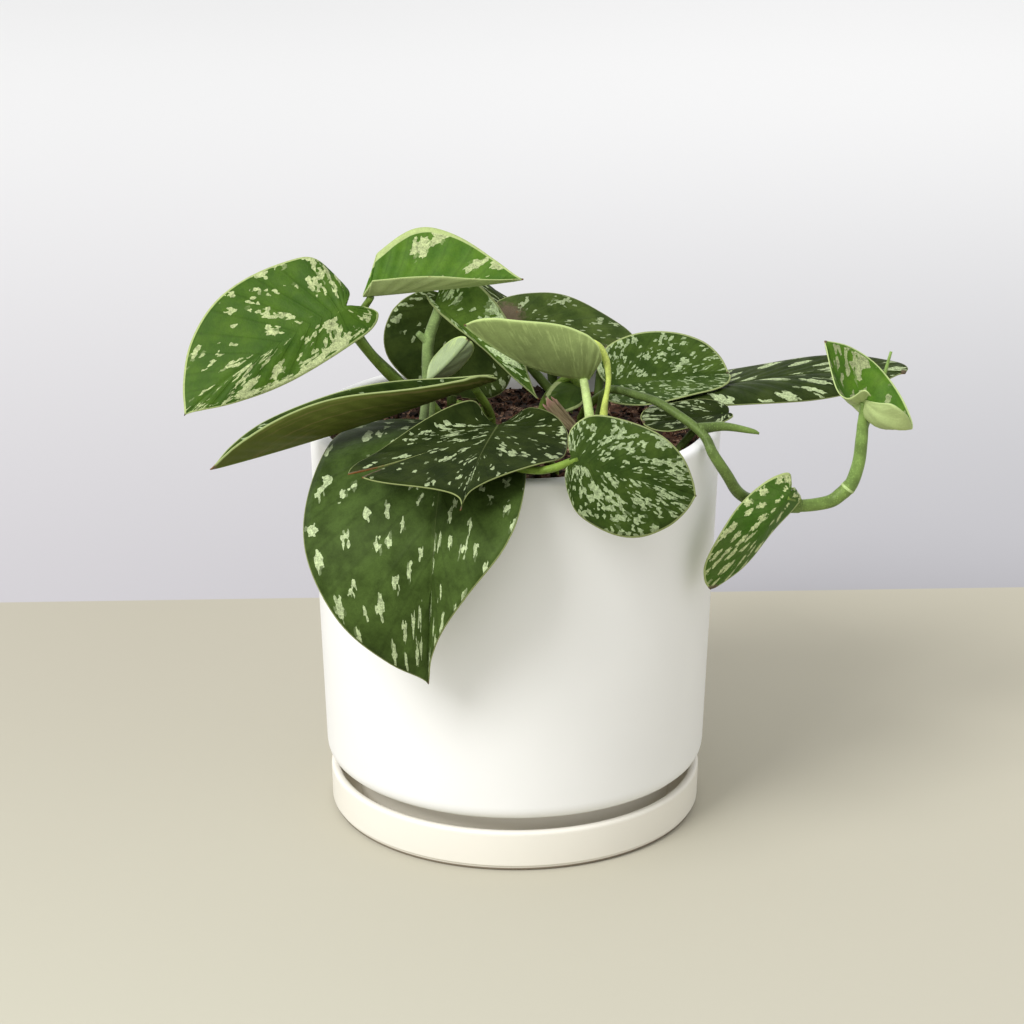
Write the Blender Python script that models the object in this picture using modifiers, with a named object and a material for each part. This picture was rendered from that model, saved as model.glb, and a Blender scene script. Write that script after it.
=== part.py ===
import math

import bmesh
import bpy
import numpy as np

# Every length below is in millimetres; meshes are written in metres.
MM = 0.001
MODEL = "satin_pothos_in_pot"
MERGE_DISTANCE = 1e-5

# Pot: radius and height pairs, down the outside, across the foot and up the inside
TURN_STEPS = 56
POT_PROFILE = [
    (69.4, 147.2), (70.6, 149.4), (72.2, 150.0), (73.8, 149.5), (75.0, 147.6),
    (70.8, 26.3), (70.0, 23.2), (68.2, 20.9), (65.4, 20.0),
    (59.4, 20.0), (58.6, 19.2), (58.2, 4.3), (57.2, 3.3),
    (51.5, 3.3), (50.6, 5.0), (8.0, 5.0), (8.0, 10.5),
    (50.0, 10.5), (52.4, 13.0), (53.0, 23.2), (55.0, 25.2), (62.0, 25.2), (65.4, 28.5),
]
SAUCER_PROFILE = [
    (0.0, 3.0), (60.0, 3.0), (64.6, 4.2), (66.1, 7.2), (66.2, 13.9),
    (66.7, 15.1), (67.8, 15.6), (68.9, 15.1), (69.5, 13.9),
    (69.2, 2.4), (68.5, 1.6), (68.3, 0.6), (67.6, 0.0), (0.0, 0.0),
]
# Soil: fills the pot with a 0.3 mm gap all round
SOIL_STEPS = 40
SOIL_TOP = 140.0
SOIL_ROUGHNESS = 0.8
SOIL_PROFILE = [
    (0.0, 140.0), (15.0, 140.0), (30.0, 140.0), (45.0, 140.0), (58.0, 140.0), (68.7, 139.4),
    (65.1, 28.6), (61.9, 25.5), (54.9, 25.5), (52.7, 23.3), (52.1, 13.2), (49.9, 10.8),
    (0.0, 10.8),
]
SOIL_SEED = 3
SOIL_LEVEL_BAND = 0.1
SOIL_ROUGH_REACH = 59.16
HOLE_GAP = 0.3
HOLE_DEPTH = 12.0
HOLE_CUT_RISE = 3.0
ROOT_RISE = 1.5

# Half of a heart-shaped blade from the notch to the tip: along and across, as shares
HALF_OUTLINE = [
    (0.0, 0.0), (-0.10, 0.20), (-0.17, 0.50), (-0.10, 0.84), (0.14, 1.0),
    (0.42, 0.94), (0.69, 0.68), (0.88, 0.34), (1.0, 0.0),
]
OUTLINE_DETAIL = 8
BLADE_THICKNESS = 0.8
LARGE_LENGTH = 50.0
LARGE_BLADE = (12, 4)
SMALL_BLADE = (8, 3)
NARROWEST = 0.06
WIDEST_ALONG = 0.14
LOBE_DEPTH = 0.17
SLIM_REACH = 0.25
VEIN_SWEEP = 2.2
FAN_SHARE = 0.25
WAVE_SHIFT = 0.37
# Blades whose lobes are shorter than this start without a notch
SHORT_LOBE = 0.6
STALK_STEPS = 3
STALK_REACH = 0.05
STALK_SINK = 0.2

# Surface colours, linear, with roughness
LOOKS = {
    "pot_ceramic": ((0.83, 0.83, 0.81), 0.45),
    "saucer_ceramic": ((0.80, 0.78, 0.73), 0.5),
    "soil": ((0.035, 0.018, 0.011), 0.95),
    "leaf_fresh": ((0.07, 0.17, 0.03), 0.45),
    "leaf_mid": ((0.045, 0.105, 0.028), 0.5),
    "leaf_dark": ((0.022, 0.05, 0.018), 0.5),
    "leaf_pale": ((0.22, 0.33, 0.10), 0.5),
    "stem_green": ((0.14, 0.24, 0.05), 0.45),
    "stem_yellow": ((0.45, 0.50, 0.10), 0.45),
    "stem_dry": ((0.16, 0.11, 0.06), 0.8),
}


def leaf(base, tip, bow, left, right, **more):
    """Design values of one blade. left and right run from the midrib to the widest margin."""
    made = dict(
        base=base, tip=tip, bow=bow, left=left, right=right,
        left_end=left, right_end=right, left_lobe=(0, 0, 0), right_lobe=(0, 0, 0),
        lobe=1.0, slim=(1.0, 1.0), bulge=(0.0, 0.0), wave=(1.2, 2.5, 0.0),
        stalk=[], thick=(1.9, 1.4), grown=[], look="leaf_mid",
    )
    made.update(more)
    return made


LEAVES = {
    "leaf_left_large": leaf(
        (-61, -5, 193), (-118, -25, 158), (-2, -0.5, 2), (2, -6, -14), (-18.5, 13.5, 15.5),
        left_end=(2, -6, -16), right_end=(-23.5, 14, 17), left_lobe=(0.5, 0, -0.5),
        right_lobe=(-3, 0.5, -6.5), slim=(1.45, 1.15),
        wave=(1.0, 2.5, 0.1), stalk=[(-27, 20, 140), (-33, 17, 151), (-43, 10, 160), (-52, 3, 172)],
        thick=(2.3, 1.6), look="leaf_fresh",
    ),
    "leaf_top_cupped": leaf(
        (-55, 5, 194), (3, 5, 200.5), (-0.5, 0, -0.5), (5, 11, 14), (4, -9, 9),
        left_end=(-14.5, 16, 34), right_end=(2.5, -10, 5.5), lobe=0.0, slim=(1.4, 1.0),
        bulge=(-1.5, -0.5), wave=(0.5, 2.5, 0.3),
        stalk=[(-38, 44, 140), (-44, 40, 152), (-54, 27, 167), (-58, 14, 181)], thick=(1.8, 1.3),
        look="leaf_fresh",
    ),
    "leaf_left_long": leaf(
        (-9, -30, 173), (-105.5, -61, 150), (-4, 4.5, -4), (-9.5, -11, 4), (-11.5, 5.5, 0.5),
        left_end=(-3, -8, 27), right_end=(-10.5, 15, 22), lobe=0.4, slim=(1.0, 1.2),
        bulge=(-2.5, -3.5),
        wave=(1.2, 3.0, 0.2), stalk=[(-9, -8, 140), (-9, -14, 155)],
        grown=[([(-9, -14, 153), (-13, -14.5, 157), (-21, -14, 160)], 1.9, 0.7)],
    ),
    "leaf_front_drooping": leaf(
        (-22, -33, 156), (-30, -90, 81.5), (-1, -26, 21), (27, -26, -5), (-46, -3, -6),
        left_end=(26.5, -30.5, -9.5), right_end=(-54.5, 10, -34), slim=(2.2, 1.25), bulge=(0.5, 2.5),
        wave=(2.0, 2.5, 0.0), stalk=[(-20, -10, 140), (-21, -22, 150)], look="leaf_dark",
    ),
    "leaf_front_wide": leaf(
        (-6, -42, 160), (-18, -115, 154), (-1, -6, 3), (26, -9, -1), (-46, -33, 1),
        left_lobe=(-3, 4, 4), right_lobe=(10, 8, 8), slim=(4.0, 3.2), wave=(1.5, 3.0, 0.2),
        stalk=[(3, -14, 140), (1, -26, 151)], look="leaf_dark",
    ),
    "leaf_front_right": leaf(
        (19, -84, 162), (62, -78, 146), (0, -3, 1), (12, 11, 12), (5, -1, -24),
        lobe=0.8, slim=(1.2, 1.2), right_lobe=(3, 0, 0), bulge=(1, 1), wave=(1.5, 2.5, 0.4),
        stalk=[(14, -40, 140), (11, -50, 150), (3, -62, 155.5), (-2, -72, 155.5), (3, -79, 156),
               (11, -84, 157.5)],
        thick=(1.6, 1.3),
    ),
    "leaf_centre_underside": leaf(
        (27, -5, 166), (-18, -15, 189), (0, 0, -5), (-1, -10, 20), (-4, 14, 8),
        left_end=(-1, -10, 25), lobe=0.5, bulge=(-2, 0), thick=(2.0, 1.5),
        look="leaf_pale", stalk=[(27, -10, 140), (27, -9, 152)],
    ),
    "leaf_centre_streaked": leaf(
        (-29, 10, 190), (9, 2, 156), (0, 2, -1), (11, 10, 9), (-1, -4, 1),
        lobe=0.5, slim=(1.8, 1.0), thick=(2.3, 2.0), wave=(0.8, 2.5, 0.2),
        stalk=[(-31.5, 10, 140), (-32, 10, 162), (-31.5, 10, 176)],
        grown=[([(-31.5, 10, 175), (-35.5, 9, 179)], 1.8, 1.1)],
    ),
    "leaf_back_brown": leaf(
        (-3, 50, 173.5), (50, 50, 157), (-1, 0, 2), (12, 14, 6), (4, -9, -7),
        stalk=[(20, 35, 140), (2, 48, 160)], look="leaf_dark",
    ),
    "leaf_back_left": leaf(
        (-18, 38, 185), (-21, 24, 150), (-1, -1, -1), (16, -2, -12), (-29, -8, -3),
        left_end=(26, -4, -12), lobe=0.5, right_lobe=(-2, 0, 8), slim=(0.9, 1.0),
        look="leaf_dark", stalk=[(-15, 50, 140), (-15, 52, 165)],
    ),
    "leaf_young_rolled": leaf(
        (-32, 1, 163), (-17, -3, 180), (0, -3, 0), (10, 4, 2), (2, 6, 8),
        lobe=0.3, wave=(0.4, 2.0, 0.0), stalk=[(-34, 1, 140), (-33, 1, 152)], look="leaf_pale",
    ),
    "leaf_right_round": leaf(
        (35, 22, 155.2), (80, 31, 157.4), (0, 1, 0), (6, 14, 15.5), (9, -18, -2.4),
        right_end=(9, -17, -2), slim=(0.95, 0.65), wave=(0.6, 2.5, 0.2),
        stalk=[(25, 25, 140), (28, 22, 148)],
    ),
    "leaf_right_long": leaf(
        (56, 22, 149.6), (148, 45, 153), (1, 2, 3.4), (11, 19, 3), (9, -15, 1.8),
        left_end=(11, 17, 2), right_end=(9, -16, -18), lobe=0.4, slim=(0.45, 1.4), bulge=(0, 2.6),
        wave=(0.7, 3.0, 0.1), stalk=[(50, 24, 140), (52, 23, 145)], look="leaf_dark",
    ),
    "leaf_right_low": leaf(
        (77, -10, 154.5), (46, -14, 152), (0, -1, 0), (-8, -10, -2), (-13, 7, 3),
        wave=(0.6, 2.5, 0.0), stalk=[(60, -10, 140), (67, -8, 149)], thick=(1.5, 1.2), look="leaf_dark",
    ),
    "leaf_vine_hanging": leaf(
        (99, -28, 130), (70, -42, 98), (0, -4, 1), (3, 6, -6), (-16, -7, 2),
        left_lobe=(-5, 2, -3), right_lobe=(2, 0, 2), slim=(1.0, 0.9), wave=(1.0, 2.5, 0.3),
        stalk=[(102.4, -20.6, 124.6)], thick=(1.4, 1.2), look="leaf_fresh",
    ),
    "leaf_vine_end": leaf(
        (126, -14, 161), (113, 6, 177), (0, -0.5, -10), (-3.5, -3.5, 4.5), (18, -5, -10),
        left_end=(-2.5, -7.5, 1.5), right_end=(26.5, 7, 16.5), lobe=1.2, left_lobe=(0, 0, -2.5),
        right_lobe=(0, -1, 3), bulge=(0, -6), wave=(0.5, 2.5, 0.0),
        stalk=[(122.5, -11, 127.9), (123.7, -11, 131.2), (125, -11, 137), (125.5, -11, 144),
               (125.8, -10.5, 150)],
        thick=(2.3, 1.9), look="leaf_fresh",
        grown=[([(125.6, -10, 143), (128, -3, 148), (133, 5, 157), (137.5, 9, 172)], 1.6, 0.5)],
    ),
    "leaf_small_shaded": leaf(
        (25, 12, 158), (11, 8, 155), (0, 0, 0), (-3, -9, -7), (-2, 7, 2),
        look="leaf_mid", stalk=[(9, 16, 140), (12, 17, 152), (20, 16, 160)],
    ),
    "leaf_back_dark": leaf(
        (10, 67, 163.5), (-20, 60, 184.5), (0, 2, 1), (-9, -7, 6), (-11, 4, 11),
        look="leaf_dark", stalk=[(15, 62, 140), (13, 67, 153)],
    ),
    "leaf_back_hidden_right": leaf(
        (34, 65, 155), (52, 112, 130), (3, 6, 9), (-17, 5, 1), (19, -9, 2),
        look="leaf_dark", stalk=[(32, 52, 140), (33, 59, 150)],
    ),
    "leaf_back_hidden_left": leaf(
        (-26, 66, 157), (-32, 108, 132), (0, 6, 8), (-15, -5, 0), (15, 3, 0),
        look="leaf_dark", stalk=[(-24, 46, 140), (-25, 58, 152)],
    ),
}

# Stems that carry leaves, along their middle line, with the first and last radius
STEMS = {
    "vine_right": dict(
        path=[(30, 4, 140), (31, 1, 152), (34, -3, 161), (45, -14, 162), (53, -22, 161),
              (66, -32, 154), (70, -38, 148), (75, -37, 140), (80, -31, 131), (87, -24, 125.5),
              (102, -17, 121.3), (114, -12, 121), (119, -11.2, 124), (122, -11, 127)],
        thick=(2.0, 2.2), look="stem_green",
        grown=[
            ([(65, -31, 155), (74, -28, 155), (84, -27, 153), (87, -27, 152)], 2.2, 0.4),
            ([(98.5, -18.5, 122.1), (103, -16.6, 121.3)], 2.8, 2.7),
            ([(119.8, -11.1, 124.8), (121, -11, 126)], 2.6, 2.5),
        ],
    ),
    "stalk_yellow": dict(
        path=[(32, -12, 140), (32, -12, 155), (33.7, -9, 168), (31, -6, 177.5), (25, -2, 180.7)],
        thick=(1.7, 0.8), look="stem_yellow", grown=[],
    ),
    "sheath_dry": dict(
        path=[(22, -3, 140), (21.5, -3, 146), (17, -3, 151), (12, -3, 157)],
        thick=(1.2, 2.2), look="stem_dry", grown=[],
    ),
}


def unit(vector):
    return vector / np.linalg.norm(vector)


def smooth_path(points, count):
    """Catmull-Rom curve through the points, at count even parameters."""
    knots = np.array(points, float)
    knots = np.vstack([2 * knots[0] - knots[1], knots, 2 * knots[-1] - knots[-2]])
    spans = len(knots) - 3
    made = []
    for place in np.linspace(0, spans, count):
        first = min(int(place), spans - 1)
        t = place - first
        a, b, c, d = knots[first:first + 4]
        made.append(
            0.5 * (2 * b + (c - a) * t + (2 * a - 5 * b + 4 * c - d) * t * t
                   + (3 * b - a - 3 * c + d) * t ** 3)
        )
    return np.array(made)


def midrib(design, s):
    """Point and unit direction of the blade's middle line at share s of its length."""
    base = np.array(design["base"], float)
    span = np.array(design["tip"], float) - base
    bow = np.array(design["bow"], float)
    inside = max(s, 0.0)
    direction = unit(span + bow * 4 * (1 - 2 * inside))
    point = base + span * inside + bow * 4 * inside * (1 - inside)
    if s < 0:
        point = point + direction * s * np.linalg.norm(span)
    return point, direction


def blade_point(design, s, across, q):
    """Point of the blade's middle surface; across is a share of the half width, right positive."""
    point, direction = midrib(design, s)
    half = 1 if across > 0 else 0
    name = ("left", "right")[half]
    t = abs(across)
    start = np.array(design[name], float)
    end = np.array(design[name + "_end"], float)
    side = start + (end - start) * max(s, 0.0)
    normal = unit(np.cross(side, direction)) * (1 if half else -1)
    height, count, phase = design["wave"]
    lift = design["bulge"][half] * 4 * t * (1 - t)
    lift += height * t * t * math.sin(2 * math.pi * (count * q + phase + WAVE_SHIFT * half))
    lobe = np.array(design[name + "_lobe"], float) * (max(-s, 0.0) / LOBE_DEPTH) ** 2
    return point + side * t + normal * lift + lobe


def full_width(design, half, along, wide):
    """Share of the half's width at this row, slimmer toward the tip."""
    fade = min(max((along - WIDEST_ALONG) / SLIM_REACH, 0.0), 1.0)
    return max(wide ** (1 + (design["slim"][half] - 1) * fade), NARROWEST)


def blade_rows(design, rows, columns):
    """Rows of points from the notch to just before the tip, and the tip point."""
    outline = smooth_path(HALF_OUTLINE, OUTLINE_DETAIL * rows + 1)[::OUTLINE_DETAIL]
    first = 1 if design["lobe"] > SHORT_LOBE else rows // 4
    made = []
    for number in range(first, rows):
        along, wide = outline[number]
        q = number / rows
        anchor = (max(q - FAN_SHARE, 0.0) / (1 - FAN_SHARE)) ** VEIN_SWEEP
        along = along * design["lobe"] if along < 0 else along
        row = []
        for column in range(-columns, columns + 1):
            share = abs(column) / columns
            s = anchor + (along - anchor) * share
            half = 1 if column > 0 else 0
            across = full_width(design, half, along, wide) * share * (1 if half else -1)
            row.append(blade_point(design, s, across, q))
        made.append(row)
    return np.array(made), midrib(design, 1.0)[0]


def blade_normal(design, s):
    """Unit normal of the blade at its midrib, on the upper side."""
    direction = midrib(design, s)[1]
    side = unit(np.array(design["right"], float)) - unit(np.array(design["left"], float))
    return unit(np.cross(side, direction))


def stalk_path(design):
    """Middle line of the stalk, ending inside the blade's thickness under its base."""
    point = midrib(design, STALK_REACH)[0]
    normal = blade_normal(design, STALK_REACH)
    rise = float(np.dot(unit(point - np.array(design["stalk"][-1], float)), normal))
    under = design["thick"][1] * math.sqrt(1 - rise * rise) - STALK_SINK
    return [tuple(p) for p in design["stalk"]] + [tuple(point - normal * max(under, 0.0))]


def material(name, colour, roughness):
    """A Principled material in one colour."""
    made = bpy.data.materials.new(name)
    made.use_nodes = True
    shader = made.node_tree.nodes["Principled BSDF"]
    shader.inputs["Base Color"].default_value = (*colour, 1.0)
    shader.inputs["Roughness"].default_value = roughness
    shader.inputs["Metallic"].default_value = 0.0
    return made


def add_object(name, mesh, collection, look=None):
    """Puts a mesh in the scene under one collection."""
    made = bpy.data.objects.new(name, mesh)
    collection.objects.link(made)
    if look:
        mesh.materials.append(look)
    for polygon in mesh.polygons:
        polygon.use_smooth = True
    return made


def realised(made):
    """The object's mesh with its modifiers applied; the object itself goes."""
    graph = bpy.context.evaluated_depsgraph_get()
    mesh = bpy.data.meshes.new_from_object(made.evaluated_get(graph))
    bpy.data.objects.remove(made)
    return mesh


def turned_mesh(name, profile, steps, collection):
    """A profile of radius and height turned once round the pot's axis."""
    mesh = bpy.data.meshes.new(name)
    points = [(radius * MM, 0.0, height * MM) for radius, height in profile]
    edges = [(i, i + 1) for i in range(len(points) - 1)]
    if profile[0][0] > 0:
        edges.append((len(points) - 1, 0))
    mesh.from_pydata(points, edges, [])
    made = bpy.data.objects.new(name, mesh)
    collection.objects.link(made)
    screw = made.modifiers.new("turn", "SCREW")
    screw.angle = 2 * math.pi
    screw.steps = steps
    screw.render_steps = steps
    screw.use_merge_vertices = True
    screw.merge_threshold = MERGE_DISTANCE
    screw.use_smooth_shade = True
    return realised(made)


def tube_mesh(name, path, radii, collection):
    """A closed round tube along the path, made from a curve."""
    curve = bpy.data.curves.new(name, "CURVE")
    curve.dimensions = "3D"
    curve.bevel_depth = MM
    curve.bevel_resolution = 2
    curve.use_fill_caps = True
    spline = curve.splines.new("POLY")
    spline.points.add(len(path) - 1)
    for place, point, radius in zip(spline.points, path, radii):
        place.co = (*(c * MM for c in point), 1.0)
        place.radius = radius
    made = bpy.data.objects.new(name, curve)
    collection.objects.link(made)
    mesh = realised(made)
    shape = bmesh.new()
    shape.from_mesh(mesh)
    bmesh.ops.remove_doubles(shape, verts=shape.verts, dist=MERGE_DISTANCE)
    bmesh.ops.recalc_face_normals(shape, faces=shape.faces)
    shape.to_mesh(mesh)
    shape.free()
    return mesh


def rooted(points):
    """The path with a straight piece down its hole when it starts at the soil's surface."""
    x, y, z = points[0][:3]
    if z != SOIL_TOP:
        return []
    return [(x, y, SOIL_TOP - HOLE_DEPTH + HOLE_GAP), (x, y, SOIL_TOP + ROOT_RISE)]


def stalk_mesh(name, points, first, last, collection):
    """A tapering stalk through the points, starting in the soil if its first point is there."""
    root = rooted(points)
    if root:
        points = [root[1]] + list(points[1:])
    count = STALK_STEPS * (len(points) - 1) + 1
    path = smooth_path(points, count)
    radii = [first + (last - first) * i / (count - 1) for i in range(count)]
    if root:
        path = np.vstack([root[:1], path])
        radii = [first] + radii
    return tube_mesh(name, path, radii, collection)


def blade_mesh(name, design):
    """The blade's middle surface, split into triangles before it is thickened."""
    length = math.dist(design["base"], design["tip"])
    rows, tip = blade_rows(design, *(LARGE_BLADE if length > LARGE_LENGTH else SMALL_BLADE))
    shape = bmesh.new()
    grid = [[shape.verts.new(point * MM) for point in row] for row in rows]
    end = shape.verts.new(tip * MM)
    for near, far in zip(grid, grid[1:]):
        for column in range(len(near) - 1):
            shape.faces.new((near[column], near[column + 1], far[column + 1], far[column]))
    for column in range(len(grid[-1]) - 1):
        shape.faces.new((grid[-1][column], grid[-1][column + 1], end))
    bmesh.ops.remove_doubles(shape, verts=shape.verts, dist=MERGE_DISTANCE)
    bmesh.ops.triangulate(shape, faces=shape.faces)
    mesh = bpy.data.meshes.new(name)
    shape.to_mesh(mesh)
    shape.free()
    return mesh


def join_tube(made, tube):
    """Fuses a tube that stands in the cutter collection into the object."""
    union = made.modifiers.new("join", "BOOLEAN")
    union.operation = "UNION"
    union.solver = "EXACT"
    union.object = tube


def add_cutter(name, mesh, cutters):
    made = add_object(name, mesh, cutters)
    made.hide_render = True
    made.display_type = "WIRE"
    return made


def add_leaf(name, design, looks, parts, cutters):
    """One blade with its stalk, as a single solid."""
    look = looks[design["look"]]
    made = add_object(name, blade_mesh(name, design), parts, look)
    solid = made.modifiers.new("thickness", "SOLIDIFY")
    solid.thickness = BLADE_THICKNESS * MM
    solid.offset = 0.0
    for number, tube in enumerate([(stalk_path(design), *design["thick"])] + design["grown"]):
        extra = name + "_stalk" + str(number)
        join_tube(made, add_cutter(extra, stalk_mesh(extra, *tube, cutters), cutters))


def add_stem(name, design, looks, parts, cutters):
    """A vine or a bare stalk, with what grows out of it fused on."""
    mesh = stalk_mesh(name, design["path"], *design["thick"], cutters)
    made = add_object(name, mesh, parts, looks[design["look"]])
    for number, tube in enumerate(design["grown"]):
        extra = name + "_stalk" + str(number)
        join_tube(made, add_cutter(extra, stalk_mesh(extra, *tube, cutters), cutters))


def add_soil(looks, parts, cutters, holes):
    """The soil, rough on top, with a plain hole for each stalk that stands in it."""
    mesh = turned_mesh("soil", SOIL_PROFILE, SOIL_STEPS, cutters)
    noise = np.random.RandomState(SOIL_SEED)
    level = (SOIL_TOP - SOIL_LEVEL_BAND) * MM
    for vertex in mesh.vertices:
        if vertex.co.z > level and vertex.co.xy.length < SOIL_ROUGH_REACH * MM:
            vertex.co.z += noise.uniform(-SOIL_ROUGHNESS, SOIL_ROUGHNESS) * MM
    made = add_object("soil", mesh, parts, looks["soil"])
    group = bpy.data.collections.new("soil_holes")
    cutters.children.link(group)
    for number, (x, y, radius) in enumerate(holes):
        path = [(x, y, SOIL_TOP - HOLE_DEPTH), (x, y, SOIL_TOP + HOLE_CUT_RISE)]
        name = "hole" + str(number)
        wide = radius + HOLE_GAP
        add_cutter(name, tube_mesh(name, path, (wide, wide), cutters), group)
    cut = made.modifiers.new("holes", "BOOLEAN")
    cut.operation = "DIFFERENCE"
    cut.solver = "EXACT"
    cut.operand_type = "COLLECTION"
    cut.collection = group


def main():
    for old in list(bpy.data.objects):
        bpy.data.objects.remove(old)
    parts = bpy.data.collections.new(MODEL)
    cutters = bpy.data.collections.new("cutters")
    bpy.context.scene.collection.children.link(parts)
    bpy.context.scene.collection.children.link(cutters)
    cutters.hide_render = True
    looks = {name: material(name, *values) for name, values in LOOKS.items()}
    pot = turned_mesh("pot", POT_PROFILE, TURN_STEPS, cutters)
    add_object("pot", pot, parts, looks["pot_ceramic"])
    saucer = turned_mesh("saucer", SAUCER_PROFILE, TURN_STEPS, cutters)
    add_object("saucer", saucer, parts, looks["saucer_ceramic"])
    holes = []
    for name, design in LEAVES.items():
        add_leaf(name, design, looks, parts, cutters)
        if rooted(design["stalk"]):
            holes.append((*design["stalk"][0][:2], design["thick"][0]))
    for name, design in STEMS.items():
        add_stem(name, design, looks, parts, cutters)
        if rooted(design["path"]):
            holes.append((*design["path"][0][:2], design["thick"][0]))
    add_soil(looks, parts, cutters, holes)


if __name__ == "__main__":
    main()
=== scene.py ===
import math

import bpy
import numpy as np
from mathutils import Euler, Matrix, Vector, noise


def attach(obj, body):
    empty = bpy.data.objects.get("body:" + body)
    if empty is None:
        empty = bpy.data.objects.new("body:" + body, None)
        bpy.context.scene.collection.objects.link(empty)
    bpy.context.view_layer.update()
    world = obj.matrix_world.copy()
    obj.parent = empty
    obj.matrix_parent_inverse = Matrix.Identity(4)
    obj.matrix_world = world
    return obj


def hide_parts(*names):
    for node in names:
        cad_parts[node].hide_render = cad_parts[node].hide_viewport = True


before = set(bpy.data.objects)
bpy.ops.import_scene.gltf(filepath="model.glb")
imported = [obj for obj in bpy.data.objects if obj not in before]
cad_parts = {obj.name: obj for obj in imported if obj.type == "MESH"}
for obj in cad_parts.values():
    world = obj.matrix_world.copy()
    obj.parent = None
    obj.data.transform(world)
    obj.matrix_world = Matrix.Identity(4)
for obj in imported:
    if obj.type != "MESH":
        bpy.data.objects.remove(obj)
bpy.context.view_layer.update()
mm = 0.001
veinSpread = 1.3  # how far the side veins fan out: length along the margin over length of the leaf


# small helpers for modelling

def activate(piece):
    bpy.ops.object.select_all(action="DESELECT")
    piece.select_set(True)
    bpy.context.view_layer.objects.active = piece


def applyModifier(piece, kind, **settings):
    activate(piece)
    bpy.ops.object.modifier_add(type=kind)
    modifier = piece.modifiers[-1]
    for name, value in settings.items():
        setattr(modifier, name, value)
    bpy.ops.object.modifier_apply(modifier=modifier.name)


def inEditMode(piece, *steps):
    # each step is an operator and its settings, run on the whole mesh
    activate(piece)
    bpy.ops.object.mode_set(mode="EDIT")
    bpy.ops.mesh.select_all(action="SELECT")
    for operator, settings in steps:
        operator(**settings)
    bpy.ops.object.mode_set(mode="OBJECT")


def joined(pieces, name):
    activate(pieces[0])
    for piece in pieces[1:]:
        piece.select_set(True)
    bpy.ops.object.join()
    pieces[0].name = name
    pieces[0].data.name = name
    return pieces[0]


def standFor(piece, node):
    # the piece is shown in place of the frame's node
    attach(piece, "root")
    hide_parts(node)


def smoothPath(points, shares):
    # smooth curve through the points, at shares of the way from 0 to 1
    knots = np.array(points, float)
    knots = np.vstack([2 * knots[0] - knots[1], knots, 2 * knots[-1] - knots[-2]])
    spans = len(knots) - 3
    place = np.clip(np.asarray(shares, float) * spans, 0, spans)
    first = np.minimum(place.astype(int), spans - 1)
    t = (place - first)[:, None]
    a, b, c, d = (knots[first + i] for i in range(4))
    bend = (2 * a - 5 * b + 4 * c - d) * t * t + (3 * b - a - 3 * c + d) * t ** 3
    return 0.5 * (2 * b + (c - a) * t + bend)


# shaders

class Wire:
    # one socket of a shader; plain maths on it adds the Math nodes
    def __init__(self, tree, socket=None):
        self.tree = tree
        self.socket = socket

    def feed(self, socket, value):
        if isinstance(value, Wire):
            self.tree.links.new(value.socket, socket)
        else:
            socket.default_value = value

    def node(self, kind, settings=None, inputs=None, output=0):
        made = self.tree.nodes.new("ShaderNode" + kind)
        for name, value in (settings or {}).items():
            setattr(made, name, value)
        for name, value in (inputs or {}).items():
            self.feed(made.inputs[name], value)
        return Wire(self.tree, made.outputs[output])

    def maths(self, operation, *values):
        return self.node("Math", {"operation": operation}, dict(enumerate(values)))

    def vectorMaths(self, operation, *values):
        return self.node("VectorMath", {"operation": operation}, dict(enumerate(values)))

    def __add__(self, other):
        return self.maths("ADD", self, other)

    def __sub__(self, other):
        return self.maths("SUBTRACT", self, other)

    def __rsub__(self, other):
        return self.maths("SUBTRACT", other, self)

    def __mul__(self, other):
        return self.maths("MULTIPLY", self, other)

    __radd__ = __add__
    __rmul__ = __mul__

    def __abs__(self):
        return self.maths("ABSOLUTE", self)

    def ramp(self, low, high):
        # 0 below low, 1 above high, smooth between
        limits = {"Value": self, "From Min": low, "From Max": high}
        return self.node("MapRange", {"interpolation_type": "SMOOTHSTEP"}, limits)

    def blend(self, first, second):
        # colour: first where this is 0, second where it is 1
        first = first if isinstance(first, Wire) else (*first, 1)
        second = second if isinstance(second, Wire) else (*second, 1)
        return self.node("Mix", {"data_type": "RGBA"}, {0: self, 6: first, 7: second}, 2)

    def shaded(self, factor):
        # this colour made darker or lighter by a number
        grey = self.node("CombineXYZ", None, {0: factor, 1: factor, 2: factor})
        return self.vectorMaths("MULTIPLY", self, grey)

    def noise(self, size, detail=2.0, seed=0.0):
        # soft noise with features of about this size in millimetres
        settings = {"noise_dimensions": "4D"}
        inputs = {"Vector": self, "W": seed, "Scale": 1000 / size, "Detail": detail, "Roughness": 0.6}
        return self.node("TexNoise", settings, inputs, "Fac")

    def cells(self, size, output, randomness=0.9, dimensions="3D"):
        # one value for each small cell
        inputs = {"Vector": self, "Scale": 1000 / size, "Randomness": randomness}
        return self.node("TexVoronoi", {"voronoi_dimensions": dimensions}, inputs, output)


def newMaterial(name, roughness, **sockets):
    # an empty Principled material, and the wire to start its nodes from
    material = bpy.data.materials.new(name)
    material.use_nodes = True
    shader = material.node_tree.nodes["Principled BSDF"]
    shader.inputs["Roughness"].default_value = roughness
    for socket, value in sockets.items():
        shader.inputs[socket.replace("_", " ")].default_value = value
    return material, shader, Wire(material.node_tree)


def finishMaterial(start, shader, colour, roughness=None, height=None, relief=0.1):
    # relief: height of the bumps in millimetres
    start.feed(shader.inputs["Base Color"], colour)
    if roughness is not None:
        start.feed(shader.inputs["Roughness"], roughness)
    if height is not None:
        inputs = {"Height": height, "Distance": relief * mm, "Strength": 1.0}
        start.feed(shader.inputs["Normal"], start.node("Bump", None, inputs))


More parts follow.
